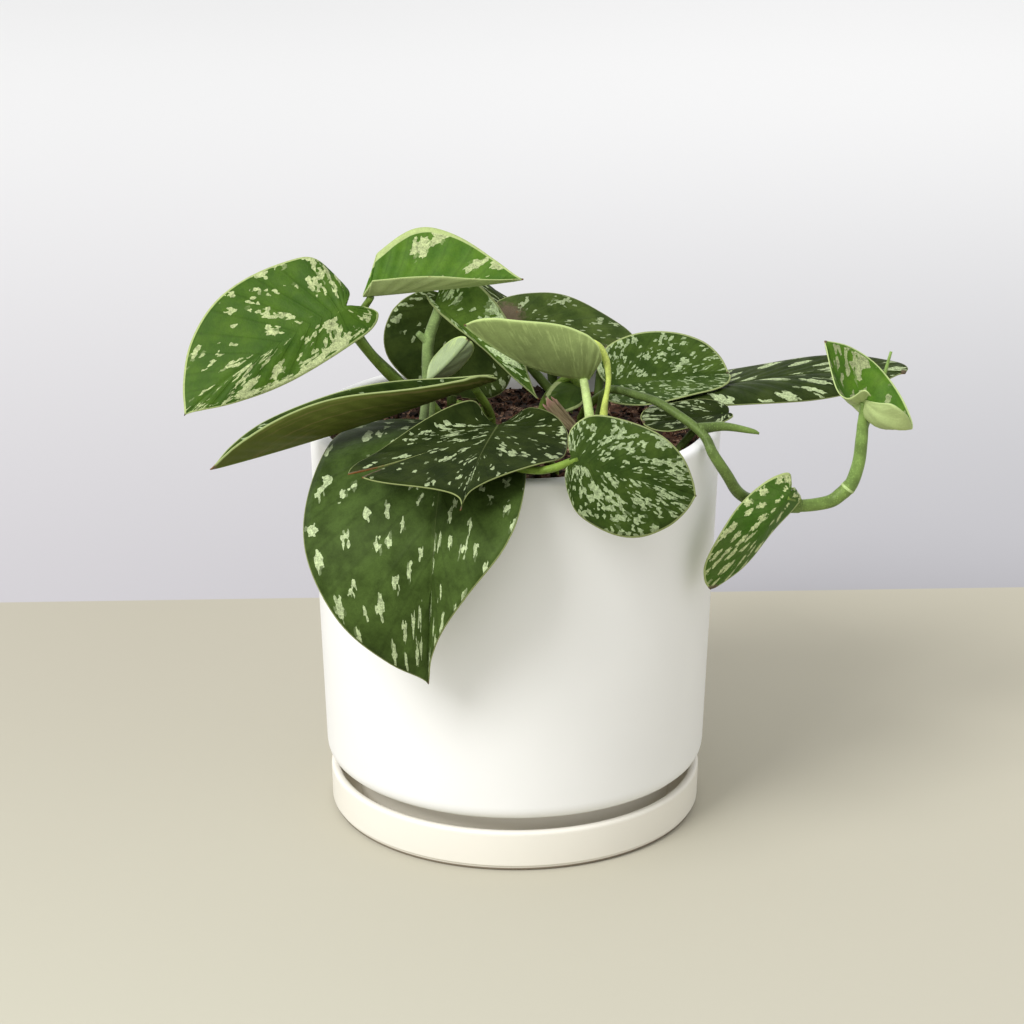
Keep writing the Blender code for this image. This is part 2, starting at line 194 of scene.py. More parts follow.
# Leaf finishes: greens, silver and margin of each kind of leaf, linear, and how much it shines
leafFinish = {
    "leaf_fresh": dict(
        green=(0.062, 0.135, 0.008), deep=(0.034, 0.092, 0.006), silver=(0.40, 0.46, 0.22),
        margin=(0.36, 0.43, 0.17), under=(0.20, 0.27, 0.05), streak=(0.30, 0.40, 0.08),
        stalk=(0.16, 0.25, 0.04), shine=0.22,
    ),
    "leaf_mid": dict(
        green=(0.040, 0.070, 0.010), deep=(0.018, 0.038, 0.005), silver=(0.32, 0.40, 0.21),
        margin=(0.31, 0.37, 0.15), under=(0.085, 0.11, 0.012), streak=(0.13, 0.165, 0.02),
        stalk=(0.14, 0.22, 0.03), shine=0.14,
    ),
    "leaf_dark": dict(
        green=(0.034, 0.052, 0.010), deep=(0.016, 0.028, 0.005), silver=(0.40, 0.48, 0.26),
        margin=(0.24, 0.28, 0.11), under=(0.09, 0.12, 0.02), streak=(0.13, 0.18, 0.03),
        stalk=(0.08, 0.13, 0.02), shine=0.12,
    ),
    "leaf_pale": dict(
        green=(0.20, 0.30, 0.07), deep=(0.12, 0.20, 0.04), silver=(0.34, 0.42, 0.18),
        # under and stalk are brightened with painted light: the underside for light shining through the
        # blade, the stalk for full light falling on it
        margin=(0.50, 0.62, 0.24), under=(0.33, 0.42, 0.145), streak=(0.48, 0.60, 0.22),
        stalk=(0.62, 0.80, 0.30), shine=0.16,
    ),
}
brown = (0.20, 0.09, 0.03)
dryBrown = (0.115, 0.088, 0.055)


def scaled(colour, factor):
    return tuple(min(1.0, factor * part) for part in colour)


def leafMaterial(name, finish, look, roughness):
    # the start of each leaf material: where a point lies along its side vein, which vein it is,
    # how far the margin is, and how dried the blade is there
    material, shader, start = newMaterial(name, roughness)
    shader.inputs["Specular IOR Level"].default_value = finish["shine"]
    shader.inputs["Specular Tint"].default_value = (0.85, 1.0, 0.55, 1)
    place = start.node("Attribute", {"attribute_name": "leafPlace"}, output="Vector")
    run, vein, edge = (start.node("SeparateXYZ", None, {0: place}, i) for i in range(3))
    body = start.node("TexCoord", output="Object")
    dried = start.node("Attribute", {"attribute_name": "leafDry"}, output="Fac")
    dried = (dried + (body.noise(1.6, 3, look["seed"]) - 0.5) * 0.8).ramp(0.40, 0.72)
    # greens change from the base to the tip: painted light and shade, darker towards the base and lighter
    # towards the tip where the leaf is lit
    along = vein * (1 / (veinSpread * mm * math.dist(look["base"], look["tip"])))
    tone = along.ramp(0.1, 0.9) * (1 - look["baseTone"]) + look["baseTone"]
    return material, shader, start, (run, vein, edge, dried, body, along, tone)


def upperSide(name, finish, look):
    material, shader, start, places = leafMaterial(name, finish, look, 0.45)
    run, vein, edge, dried, body, along, tone = places
    seed = look["seed"]
    # silver: small ragged cells stretched along the side veins and gathered in patches
    wobble = (body.noise(1.8, 3, seed) - 0.5) * (1.5 * mm)
    flow = start.node("CombineXYZ", None,
                      {0: run * (1 / look["stretch"]), 1: vein + wobble, 2: seed * 0.1})
    spot = flow.cells(look["cell"], "Position")
    chance = start.node("SeparateColor", None, {0: flow.cells(look["cell"], "Color")})
    large, small = (spot.noise(look["patch"], look["ragged"], seed),
                    spot.noise(look["patch"] * 0.36, 1, seed))
    patches = large * 0.6 + small * 0.4 + (chance - 0.5) * look["scatter"]
    patches = patches - (1 - along.ramp(0.0, look["bare"] + 0.01)) * 0.12
    if look["spots"]:
        # separate patches, one to each large cell
        own = spot.vectorMaths("ADD", spot, (0.07 * seed, 0.03 * seed, 0))
        gap = own.cells(look["spots"], "Distance", 0.8, "2D")
        patches = (look["spotSize"] - gap + (spot.noise(2.6, 2, seed) - 0.5) * 0.7) * 0.5 + 0.5
        patches = patches + (chance - 0.5) * look["scatter"] * 0.5
    if look["streaks"]:
        # fine streaks that follow the left margin
        strand = start.node("CombineXYZ", None, {0: edge, 1: vein * 0.22, 2: seed * 0.1})
        low = (1 - edge.ramp(3.0 * mm, 7.5 * mm)) * (1 - run.ramp(-3.0 * mm, -1.0 * mm))
        patches = patches + low * (strand.noise(1.6, 2, seed) - 0.42) * look["streaks"]
    clear = abs(run).ramp(look["band"] * 0.4 * mm, look["band"] * mm)
    silver = (patches * (0.35 + 0.65 * clear)).ramp(look["level"] - 0.008, look["level"] + 0.008)
    silver = silver * edge.ramp(0.45 * mm, 0.7 * mm)
    # greens, darker along the side veins
    cloud = body.noise(9, 3, seed + 3).ramp(0.32, 0.68)
    colour = cloud.blend(scaled(finish["deep"], look["tone"]), scaled(finish["green"], look["tone"]))
    colour = colour.shaded(tone)
    rib = vein.maths("PINGPONG", vein, look["ribs"] * 0.5 * mm) * (2 / (look["ribs"] * mm))
    line = 1 - rib.ramp(0.0, 0.22)
    colour = colour.shaded(1 - 0.14 * line)
    grain = body.noise(0.5, 3, seed)
    pale = scaled(finish["silver"], look["glow"])
    mottle = body.noise(1.3, 3, seed)
    speckled = (grain * 0.6 + mottle * 0.4).ramp(0.34, 0.62).blend(scaled(pale, 0.55), scaled(pale, 1.12))
    colour = silver.blend(colour, speckled)
    middle = 1 - abs(run).ramp(0.15 * mm, 0.5 * mm)
    colour = (middle * look["middle"]).blend(colour, scaled(finish["margin"], 0.55))
    # pale band along the margin, wider where the left margin turns over near the base
    leftward = (1 - run.ramp(-1.0 * mm, 1.0 * mm)) * (1 - along.ramp(0.1, 0.9))
    width = leftward * (look["limeLeft"] * mm) + look["lime"] * mm
    margin = 1 - (edge - width).ramp(-0.25 * mm, 0)
    colour = margin.blend(colour, finish["margin"])
    tan = body.noise(2.2, 3, seed + 5).ramp(0.6, 0.85).blend(dryBrown, brown)
    colour = dried.blend(colour, tan)
    colour = colour.shaded(0.45 + 0.6 * grain + 0.5 * mottle)
    rough = 0.42 + 0.2 * grain - 0.05 * silver
    finishMaterial(start, shader, colour, rough, grain + mottle + 0.5 * line + 0.3 * silver, 0.10)
    return material


def underSide(name, finish, look):
    material, shader, start, (run, vein, edge, dried, body, _, tone) = leafMaterial(
        name, finish, look, 0.5)
    seed = look["seed"]
    flow = start.node("CombineXYZ", None, {0: run * 0.12, 1: vein, 2: seed * 0.1})
    streaks = flow.noise(0.8, 3, seed)
    if look["lengthwise"]:
        strand = start.node("CombineXYZ", None, {0: edge, 1: vein * 0.05, 2: seed * 0.1})
        streaks = strand.noise(1.3, 3, seed)
    cloud = body.noise(10, 2, seed)
    colour = cloud.ramp(0.3, 0.7).blend(scaled(finish["under"], 0.8), finish["under"]).shaded(tone)
    colour = (streaks.ramp(0.5, 0.68) * 0.55).blend(colour, finish["streak"])
    midrib = 1 - abs(run).ramp(0.3 * mm, 1.1 * mm)
    colour = (midrib * 0.5).blend(colour, finish["stalk"])
    margin = 1 - edge.ramp(0.3 * mm, 0.9 * mm)
    colour = margin.blend(colour, finish["margin"])
    colour = dried.blend(colour, dryBrown)
    grain = body.noise(0.6, 3, seed)
    colour = colour.shaded(0.8 + 0.4 * grain)
    finishMaterial(start, shader, colour, 0.45 + 0.2 * grain, streaks + 0.4 * grain, 0.08)
    return material


def marginEdge(name, finish, look):
    material, shader, start, (*_, dried, body, _, _) = leafMaterial(name, finish, look, 0.5)
    fleck = body.noise(2.2, 3, look["seed"]).ramp(0.62, 0.72)
    halfBrown = tuple(0.5 * (a + b) for a, b in zip(finish["margin"], brown))
    colour = fleck.blend(finish["margin"], halfBrown)
    colour = dried.blend(colour, brown)
    finishMaterial(start, shader, colour, height=body.noise(0.6), relief=0.05)
    return material


def stalkSkin(name, colour, seed=0.0, dots=0.25, paintedShade=None):
    # smooth green skin with fine lengthwise mottling and small pale dots
    # painted shade: how dark the stalk starts, and where to the right it is full bright, from and to
    material, shader, start = newMaterial(name, 0.42)
    shader.inputs["Specular IOR Level"].default_value = 0.3
    shader.inputs["Specular Tint"].default_value = (0.85, 1.0, 0.6, 1)
    body = start.node("TexCoord", output="Object")
    spot = 1 - body.cells(0.8, "Distance").ramp(0.15, 0.42)
    tone = body.noise(6, 3, seed).ramp(0.3, 0.7)
    base = tone.blend(scaled(colour, 0.62), scaled(colour, 1.12))
    base = (spot * dots).blend(base, scaled(colour, 2.0))
    grain = body.noise(0.5, 2, seed)
    base = base.shaded(0.85 + 0.3 * grain)
    if paintedShade:
        dark, first, last = paintedShade
        right = start.node("SeparateXYZ", None, {0: body}, 0).ramp(first * mm, last * mm)
        base = base.shaded(dark + (1 - dark) * right)
    finishMaterial(start, shader, base, 0.38 + 0.15 * tone, spot * (2 * dots) + grain * 0.4, 0.06)
    return material


# leaves

# half of a heart-shaped blade from the notch to the tip: along and across, as shares
halfOutline = [
    (0.0, 0.0), (-0.10, 0.20), (-0.17, 0.50), (-0.10, 0.84), (0.14, 1.0),
    (0.42, 0.94), (0.69, 0.68), (0.88, 0.34), (1.0, 0.0),
]
bladeBuild = dict(
    thickness=0.7, marginShare=0.5, rows=72, columns=16, smallRows=44, smallColumns=10,
    smallLength=50, fanShare=0.25, veinSweep=2.2, lobeDepth=0.17, widestAlong=0.14, slimReach=0.25,
    notchStart=0.03, shortLobe=0.6, halfShift=0.37, stalkReach=0.05, stalkSink=0.2, groove=0.35,
    pucker=0.16, thinReach=2.5,
)


def leaf(base, tip, bow, left, right, **more):
    # shape, in millimetres: base and tip are the ends of the midrib, bow its bend halfway; left and right
    # run from the midrib to the widest margin, as seen from above the leaf, and the End ones the same
    # near the tip; lobe, leftLobe and rightLobe shape and push the lobes beside the notch; slim narrows
    # each half towards the tip; bulge and wave (height, number, shift) lift the blade and its margin
    # stalk, thick, grown: the stalk's points, its radii, and what else grows from it
    # silver: level sets how little there is; patch, ragged and scatter its groups; cell and stretch its
    # grains; spots and spotSize separate patches instead; bare and streaks where it is thin or streaky
    # tone and glow brighten or darken each leaf's greens and silver: partly the leaf's own colour, partly
    # painted light and shade for how lit it is; the base factor paints shade that darkens the greens from
    # the tip towards the base
    made = dict(
        base=base, tip=tip, bow=bow, left=left, right=right, leftEnd=left, rightEnd=right,
        leftLobe=(0, 0, 0), rightLobe=(0, 0, 0), lobe=1.0, slim=(1.0, 1.0), bulge=(0.0, 0.0),
        wave=(1.2, 2.5, 0.0), stalk=[], thick=(1.9, 1.4), grown=[], kind="leaf_mid",
        seed=0.0, level=0.57, patch=5.5, cell=0.85, stretch=1.8, ragged=2.0, scatter=0.10,
        spots=0.0, spotSize=0.2, bare=0.0, streaks=0.0, band=2.5, ribs=5.5, middle=0.0,
        lime=0.45, limeLeft=0.0, lengthwise=False, tone=1.0, baseTone=1.0, glow=1.0,
        dryTip=1.0, dryPlaces=[], tear=None, paint={},
    )
    made.update(more)
    return made


leaves = {
    "leaf_left_large": leaf(
        (-61, -5, 193), (-118, -25, 158), (-2, -0.5, 2), (2, -6, -14), (-18.5, 13.5, 15.5),
        leftEnd=(2, -6, -16), rightEnd=(-23.5, 14, 17), leftLobe=(0.5, 0, -0.5),
        rightLobe=(-3, 0.5, -6.5), slim=(1.45, 1.15), wave=(1.0, 2.5, 0.1),
        stalk=[(-27, 20, 140), (-33, 17, 151), (-43, 10, 160), (-52, 3, 172)],
        thick=(2.3, 1.6), kind="leaf_fresh", level=0.543, patch=10, seed=2.3, bare=0.4, streaks=0.6,
        scatter=0.07, ragged=2.6, lime=0.8, tone=0.76, glow=0.95,
    ),
    "leaf_top_cupped": leaf(
        (-55, 5, 194), (3, 5, 200.5), (-0.5, 0, -0.5), (5, 11, 14), (4, -9, 9),
        leftEnd=(-14.5, 16, 34), rightEnd=(2.5, -10, 5.5), lobe=0.0, slim=(1.4, 1.0),
        bulge=(-1.5, -0.5), wave=(0.5, 2.5, 0.3),
        stalk=[(-38, 44, 140), (-44, 40, 152), (-54, 27, 167), (-58, 14, 181)],
        thick=(1.8, 1.3), kind="leaf_fresh", level=0.5, spots=8, spotSize=0.21, seed=2.1, lime=0.8,
        limeLeft=4.5, tone=1.15,
        paint=dict(under=(0.50, 0.62, 0.25), streak=(0.56, 0.68, 0.32), margin=(0.37, 0.45, 0.18)),
    ),
    "leaf_left_long": leaf(
        (-9, -30, 173), (-105.5, -61, 150), (-4, 4.5, -4), (-9.5, -11, 4), (-11.5, 5.5, 0.5),
        leftEnd=(-3, -8, 27), rightEnd=(-10.5, 15, 22), lobe=0.4, slim=(1.0, 1.2),
        bulge=(-2.5, -3.5), wave=(1.2, 3.0, 0.2), stalk=[(-9, -8, 140), (-9, -14, 155)],
        grown=[([(-9, -14, 153), (-13, -14.5, 157), (-21, -14, 160)], 1.9, 0.7)],
        # its greens darken towards the base: painted shade where the downturned underside lies in shadow
        seed=3.7, level=0.6, baseTone=0.65, dryTip=2.5, lengthwise=True,
        paint=dict(under=(0.085, 0.106, 0.018), streak=(0.15, 0.125, 0.045)),
    ),
    "leaf_front_drooping": leaf(
        (-22, -33, 156), (-30, -90, 81.5), (-1, -26, 21), (27, -26, -5), (-46, -3, -6),
        leftEnd=(26.5, -30.5, -9.5), rightEnd=(-54.5, 10, -34), slim=(2.2, 1.25), bulge=(0.5, 2.5),
        wave=(2.0, 2.5, 0.0), stalk=[(-20, -10, 140), (-21, -22, 150)], kind="leaf_dark",
        level=0.5, spots=8.5, spotSize=0.17, cell=1.1, stretch=1.0, seed=4.2, ribs=8, middle=0.3,
        # its greens are brightened and darken towards the base: painted light on its lit lower half
        tone=1.75, baseTone=0.7, paint=dict(green=(0.032, 0.054, 0.011)),
    ),
    "leaf_front_wide": leaf(
        (-6, -42, 160), (-18, -115, 154), (-1, -6, 3), (26, -9, -1), (-46, -33, 1),
        leftLobe=(-3, 4, 4), rightLobe=(10, 8, 8), slim=(4.0, 3.2), wave=(1.5, 3.0, 0.2),
        stalk=[(3, -14, 140), (1, -26, 151)], kind="leaf_dark", level=0.585, patch=4, seed=5.9,
        stretch=2.6, tone=0.72, glow=0.85, dryTip=2, middle=0.5, paint=dict(shine=0.05),
        tear=dict(row=0.57, inner=0.42, spread=0.3, opening=0.035, drop=3.0),
    ),
    "leaf_front_right": leaf(
        (19, -84, 162), (62, -78, 146), (0, -3, 1), (12, 11, 12), (5, -1, -24),
        lobe=0.8, slim=(1.2, 1.2), rightLobe=(3, 0, 0), bulge=(1, 1), wave=(1.5, 2.5, 0.4),
        stalk=[(14, -40, 140), (11, -50, 150), (3, -62, 155.5), (-2, -72, 155.5), (3, -79, 156),
               (11, -84, 157.5)],
        thick=(1.6, 1.3), level=0.54, patch=5, seed=6.4, cell=0.75, tone=1.1,
        scatter=0.2, glow=0.95, lime=0.8,
    ),
    "leaf_centre_underside": leaf(
        (27, -5, 166), (-18, -15, 189), (0, 0, -5), (-1, -10, 20), (-4, 14, 8),
        leftEnd=(-1, -10, 25), lobe=0.5, bulge=(-2, 0), thick=(2.0, 1.5),
        kind="leaf_pale", stalk=[(27, -10, 140), (27, -9, 152)], seed=7.1, baseTone=0.85,
    ),
    "leaf_centre_streaked": leaf(
        (-29, 10, 190), (9, 2, 156), (0, 2, -1), (11, 10, 9), (-1, -4, 1),
        lobe=0.5, slim=(1.8, 1.0), thick=(2.3, 2.0), wave=(0.8, 2.5, 0.2),
        stalk=[(-31.5, 10, 140), (-32, 10, 162), (-31.5, 10, 176)],
        grown=[([(-31.5, 10, 175), (-35.5, 9, 179)], 1.8, 1.1)], seed=8.8, level=0.535,
        # tone and glow lift its greens and silver: painted light against the shade it lies in
        stretch=2.6, tone=2.8, glow=1.8, lime=1.0, paint=dict(stalk=(0.24, 0.34, 0.12)),
    ),
    "leaf_back_brown": leaf(
        (-3, 50, 173.5), (50, 50, 157), (-1, 0, 2), (12, 14, 6), (4, -9, -7),
        stalk=[(20, 35, 140), (2, 48, 160)], kind="leaf_dark", seed=9.5, level=0.575,
        tone=1.9, glow=0.8,
        dryPlaces=[((-3, 52, 172), 7), ((38, 44, 164), 7), ((46, 46, 158), 6)],
    ),
    "leaf_back_left": leaf(
        (-18, 38, 185), (-21, 24, 150), (-1, -1, -1), (16, -2, -12), (-29, -8, -3),
        leftEnd=(26, -4, -12), lobe=0.5, rightLobe=(-2, 0, 8), slim=(0.9, 1.0),
        kind="leaf_dark", stalk=[(-15, 50, 140), (-15, 52, 165)], seed=10.2, level=0.585,
        tone=1.6,
    ),
    "leaf_young_rolled": leaf(
        (-32, 1, 163), (-17, -3, 180), (0, -3, 0), (10, 4, 2), (2, 6, 8),
        lobe=0.3, wave=(0.4, 2.0, 0.0), stalk=[(-34, 1, 140), (-33, 1, 152)], kind="leaf_pale",
        seed=11.4, level=0.62, tone=0.95,
        paint=dict(green=(0.26, 0.35, 0.16), deep=(0.20, 0.28, 0.12), under=(0.38, 0.47, 0.26),
                   silver=(0.42, 0.50, 0.30), stalk=(0.20, 0.27, 0.11)),
    ),
    "leaf_right_round": leaf(
        (35, 22, 155.2), (80, 31, 157.4), (0, 1, 0), (6, 14, 15.5), (9, -18, -2.4),
        rightEnd=(9, -17, -2), slim=(0.95, 0.65), wave=(0.6, 2.5, 0.2),
        stalk=[(25, 25, 140), (28, 22, 148)], seed=12.6, level=0.553, patch=3.8, cell=0.75, tone=1.3,
        scatter=0.18, lime=0.8,
    ),
    "leaf_right_long": leaf(
        (56, 22, 149.6), (148, 45, 153), (1, 2, 3.4), (11, 19, 3), (9, -15, 1.8),
        leftEnd=(11, 17, 2), rightEnd=(9, -16, -18), lobe=0.4, slim=(0.45, 1.4), bulge=(0, 2.6),
        wave=(0.7, 3.0, 0.1), stalk=[(50, 24, 140), (52, 23, 145)], kind="leaf_dark",
        seed=13.3, level=0.5, spots=8, spotSize=0.22, dryTip=2.0, stretch=2.6,
    ),
    "leaf_right_low": leaf(
        (77, -10, 154.5), (46, -14, 152), (0, -1, 0), (-8, -10, -2), (-13, 7, 3),
        wave=(0.6, 2.5, 0.0), stalk=[(60, -10, 140), (67, -8, 149)], thick=(1.5, 1.2),
        kind="leaf_dark", seed=14.9, level=0.565, tone=0.62, glow=0.7,
        paint=dict(shine=0.05),
    ),
    "leaf_vine_hanging": leaf(
        (99, -28, 130), (70, -42, 98), (0, -4, 1), (3, 6, -6), (-16, -7, 2),
        leftLobe=(-5, 2, -3), rightLobe=(2, 0, 2), slim=(1.0, 0.9), wave=(1.0, 2.5, 0.3),
        stalk=[(102.4, -20.6, 124.6)], thick=(1.4, 1.2), kind="leaf_fresh",
        seed=15.5, level=0.5, spots=4.6, spotSize=0.31, cell=0.6, stretch=1.2, dryTip=3.0, tone=1.2,
        glow=1.2, lime=0.8,
        paint=dict(green=(0.055, 0.105, 0.018)),
    ),
    "leaf_vine_end": leaf(
        (126, -14, 161), (113, 6, 177), (0, -0.5, -10), (-2.5, -5.5, 4.5), (18, -5, -10),
        leftEnd=(-2.5, -8, 2), rightEnd=(26.5, 7, 16.5), lobe=1.2, leftLobe=(0, 0, -2.5),
        rightLobe=(0, -1, 3), bulge=(0, -6), wave=(0.5, 2.5, 0.0),
        stalk=[(121.5, -11, 126.2), (122.5, -11, 127.9), (123.7, -11, 131.2), (125, -11, 137),
               (125.5, -11, 144), (125.8, -10.5, 150)],
        thick=(2.55, 2.5, 2.45, 2.35, 2.3, 2.1, 1.0), kind="leaf_fresh", seed=16.2, level=0.535,
        patch=4, stretch=3.0, scatter=0.16, glow=0.75, tone=1.25,
        paint=dict(under=(0.42, 0.52, 0.21), streak=(0.48, 0.58, 0.25), margin=(0.45, 0.55, 0.23),
                   stalk=(0.20, 0.31, 0.08)),
        grown=[([(125.6, -10, 143), (128, -3, 148), (133, 5, 157), (137.5, 9, 172)], 1.6, 0.5)],
    ),
    "leaf_small_shaded": leaf(
        (25, 12, 158), (11, 8, 155), (0, 0, 0), (-3, -9, -7), (-2, 7, 2),
        # lime: a wide pale margin, painted highlight along its lit edge
        stalk=[(9, 16, 140), (12, 17, 152), (20, 16, 160)], seed=17.7, level=0.66, lime=1.8, tone=1.4,
    ),
    "leaf_back_dark": leaf(
        (10, 67, 163.5), (-20, 60, 184.5), (0, 2, 1), (-9, -7, 6), (-11, 4, 11),
        kind="leaf_dark", stalk=[(15, 62, 140), (13, 67, 153)], seed=18.1,
    ),
    "leaf_back_hidden_right": leaf(
        (34, 65, 155), (52, 112, 130), (3, 6, 9), (-17, 5, 1), (19, -9, 2),
        kind="leaf_dark", stalk=[(32, 52, 140), (33, 59, 150)], seed=19.4,
    ),
    "leaf_back_hidden_left": leaf(
        (-26, 66, 157), (-32, 108, 132), (0, 6, 8), (-15, -5, 0), (15, 3, 0),
        kind="leaf_dark", stalk=[(-24, 46, 140), (-25, 58, 152)], seed=20.8,
    ),
}


def lengths(rows):
    return np.linalg.norm(rows, axis=1, keepdims=True)


def midrib(shape, s):
    # point and unit direction of the blade's middle line at shares s of its length
    base = np.array(shape["base"], float)
    span = np.array(shape["tip"], float) - base
    bow = np.array(shape["bow"], float)
    s = np.asarray(s, float)[:, None]
    inside = np.clip(s, 0, None)
    direction = span + bow * 4 * (1 - 2 * inside)
    direction = direction / lengths(direction)
    point = base + span * inside + bow * 4 * inside * (1 - inside)
    point = point + direction * np.clip(s, None, 0) * np.linalg.norm(span)
    return point, direction


def bladeSurface(shape, share, q):
    # points of the blade: share runs over its width from -1 to 1, q from the notch to the tip
    build = bladeBuild
    right = share > 0
    t = np.abs(share)
    along, wide = smoothPath(halfOutline, q).T
    anchor = (np.clip(q - build["fanShare"], 0, None) / (1 - build["fanShare"])) ** build["veinSweep"]
    along = np.where(along < 0, along * shape["lobe"], along)
    slim = np.where(right, shape["slim"][1], shape["slim"][0])
    fade = np.clip((along - build["widestAlong"]) / build["slimReach"], 0, 1)
    full = np.abs(wide) ** (1 + (slim - 1) * fade)
    s = anchor + (along - anchor) * t
    point, direction = midrib(shape, s)
    start = np.where(right[:, None], shape["right"], shape["left"]).astype(float)
    end = np.where(right[:, None], shape["rightEnd"], shape["leftEnd"])
    side = start + (end - start) * np.clip(s, 0, None)[:, None]
    normal = np.cross(side, direction)
    normal = normal / lengths(normal) * np.where(right, 1, -1)[:, None]
    over = full * t
    height, count, phase = shape["wave"]
    swing = np.sin(2 * math.pi * (count * q + phase + build["halfShift"] * right))
    bulge = np.where(right, shape["bulge"][1], shape["bulge"][0])
    lift = bulge * 4 * over * (1 - over) + height * over ** 2 * swing
    lobes = np.where(right[:, None], shape["rightLobe"], shape["leftLobe"])
    lobes = lobes * ((np.clip(-s, 0, None) / build["lobeDepth"]) ** 2)[:, None]
    # fine relief: the groove over the midrib and low swells between the side veins
    out = lengths(side)[:, 0] * over
    window = np.clip(out / 4, 0, 1) * np.clip((1 - t) * 6, 0, 1) * np.clip((q - 0.1) * 5, 0, 1)
    ribs = 2 * math.pi * q * math.dist(shape["base"], shape["tip"]) * veinSpread / shape["ribs"]
    lift = lift - build["groove"] * np.exp(-(out / 0.8) ** 2) + build["pucker"] * window * np.sin(ribs)
    return point + side * over[:, None] + normal * lift[:, None] + lobes


def tearOpen(piece, tear, rows):
    # part the flat grid along one row, from the right margin in; gives each vertex its push along the leaf
    mesh = piece.data
    line = -1 + 2 * round(tear["row"] * rows) / rows
    activate(piece)
    bpy.ops.object.mode_set(mode="EDIT")
    bpy.ops.mesh.select_mode(type="EDGE")
    bpy.ops.mesh.select_all(action="DESELECT")
    bpy.ops.object.mode_set(mode="OBJECT")
    for edge in mesh.edges:
        ends = [mesh.vertices[v].co for v in edge.vertices]
        edge.select = all(abs(co.y - line) < 1e-4 and co.x > tear["inner"] for co in ends)
    bpy.ops.object.mode_set(mode="EDIT")
    bpy.ops.mesh.edge_split(type="EDGE")
    bpy.ops.object.mode_set(mode="OBJECT")
    flat = np.array([v.co for v in mesh.vertices])
    side = np.sign(flat[:, 1] - line)
    for face in mesh.polygons:
        for vertex in face.vertices:
            if side[vertex] == 0 or abs(flat[vertex, 1] - line) < 1e-4:
                side[vertex] = np.sign(face.center.y - line)
    reach = np.clip((flat[:, 0] - tear["inner"]) / (1 - tear["inner"]), 0, 1)
    near = np.exp(-np.abs(flat[:, 1] - line) / tear["spread"])
    return side * reach * near, reach * near * (np.abs(flat[:, 1] - line) < 1e-4)


def dryness(shape, points):
    # 1 where the blade is dead and brown, 0 where it is fresh
    tip = np.array(shape["tip"], float)
    places = [(tip, shape["dryTip"])] + [(np.array(p, float), radius) for p, radius in shape["dryPlaces"]]
    return np.max([1 - 0.5 * lengths(points - place)[:, 0] / radius for place, radius in places], axis=0)


def bladePiece(name, shape):
    # a grid whose points are moved onto the leaf, then thickened
    build = bladeBuild
    length = math.dist(shape["base"], shape["tip"])
    large = length > build["smallLength"]
    rows = build["rows"] if large else build["smallRows"]
    columns = build["columns"] if large else build["smallColumns"]
    first = build["notchStart"] if shape["lobe"] > build["shortLobe"] else build["fanShare"]
    bpy.ops.object.select_all(action="DESELECT")
    bpy.ops.mesh.primitive_grid_add(x_subdivisions=2 * columns, y_subdivisions=rows, size=2)
    piece = bpy.context.object
    piece.name = name
    push = torn = 0
    if shape["tear"]:
        push, torn = tearOpen(piece, shape["tear"], rows)
    flat = np.array([v.co for v in piece.data.vertices])
    share = flat[:, 0]
    q = first + (1 - first) * (flat[:, 1] + 1) / 2
    if shape["tear"]:
        q = q + push * shape["tear"]["opening"]
    points = bladeSurface(shape, share, q)
    if shape["tear"]:
        points = points + np.minimum(push, 0)[:, None] * np.array([0, 0, shape["tear"]["drop"]])
    ribStart = bladeSurface(shape, 0 * share, q)
    rim = bladeSurface(shape, np.sign(share + 1e-9), q)
    veinLength = lengths(rim - ribStart)[:, 0]
    places = np.stack([share * veinLength, q * length * veinSpread, (1 - np.abs(share)) * veinLength], 1)
    attribute = piece.data.attributes.new("leafPlace", "FLOAT_VECTOR", "POINT")
    attribute.data.foreach_set("vector", (places * mm).ravel())
    dry = np.clip(np.maximum(dryness(shape, points), 0.9 * torn), 0, 1)
    attribute = piece.data.attributes.new("leafDry", "FLOAT", "POINT")
    attribute.data.foreach_set("value", dry.ravel())
    piece.data.vertices.foreach_set("co", (points * mm).ravel())
    group = piece.vertex_groups.new(name="thin")
    for index, near in enumerate(np.clip(places[:, 2] / build["thinReach"], 0, 1)):
        group.add([index], build["marginShare"] + (1 - build["marginShare"]) * near, "REPLACE")
    if not shape["tear"]:
        inEditMode(piece, (bpy.ops.mesh.remove_doubles, dict(threshold=0.01 * mm)))
    finish = {**leafFinish[shape["kind"]], **shape["paint"]}
    for material in (upperSide(name + "_upper", finish, shape), underSide(name + "_under", finish, shape),
                     marginEdge(name + "_margin", finish, shape)):
        piece.data.materials.append(material)
    applyModifier(
        piece, "SOLIDIFY", thickness=build["thickness"] * mm, offset=0.0, vertex_group="thin",
        material_offset=1, material_offset_rim=2,
    )
    return piece


def tubePiece(name, points, radii, material, sides=5):
    # a round stalk along the points, from a curve with a bevel
    bpy.ops.object.select_all(action="DESELECT")
    bpy.ops.curve.primitive_nurbs_path_add(location=(0, 0, 0))
    piece = bpy.context.object
    piece.name = name
    curve = piece.data
    curve.splines.clear()
    spline = curve.splines.new("POLY")
    spline.points.add(len(points) - 1)
    for place, point, radius in zip(spline.points, points, radii):
        place.co = (*(c * mm for c in point), 1)
        place.radius = radius
    spline.use_smooth = True
    curve.bevel_depth = mm
    curve.bevel_resolution = sides
    curve.use_fill_caps = True
    activate(piece)
    bpy.ops.object.convert(target="MESH")
    piece = bpy.context.object
    inEditMode(
        piece, (bpy.ops.mesh.remove_doubles, dict(threshold=0.001 * mm)),
        (bpy.ops.mesh.normals_make_consistent, dict(inside=False)),
    )
    piece.data.materials.clear()
    piece.data.materials.append(material)
    return piece


soilTop = 140
holeDepth = 11.5
stalkRise = 1.5  # the stalk goes straight up this far before it bends


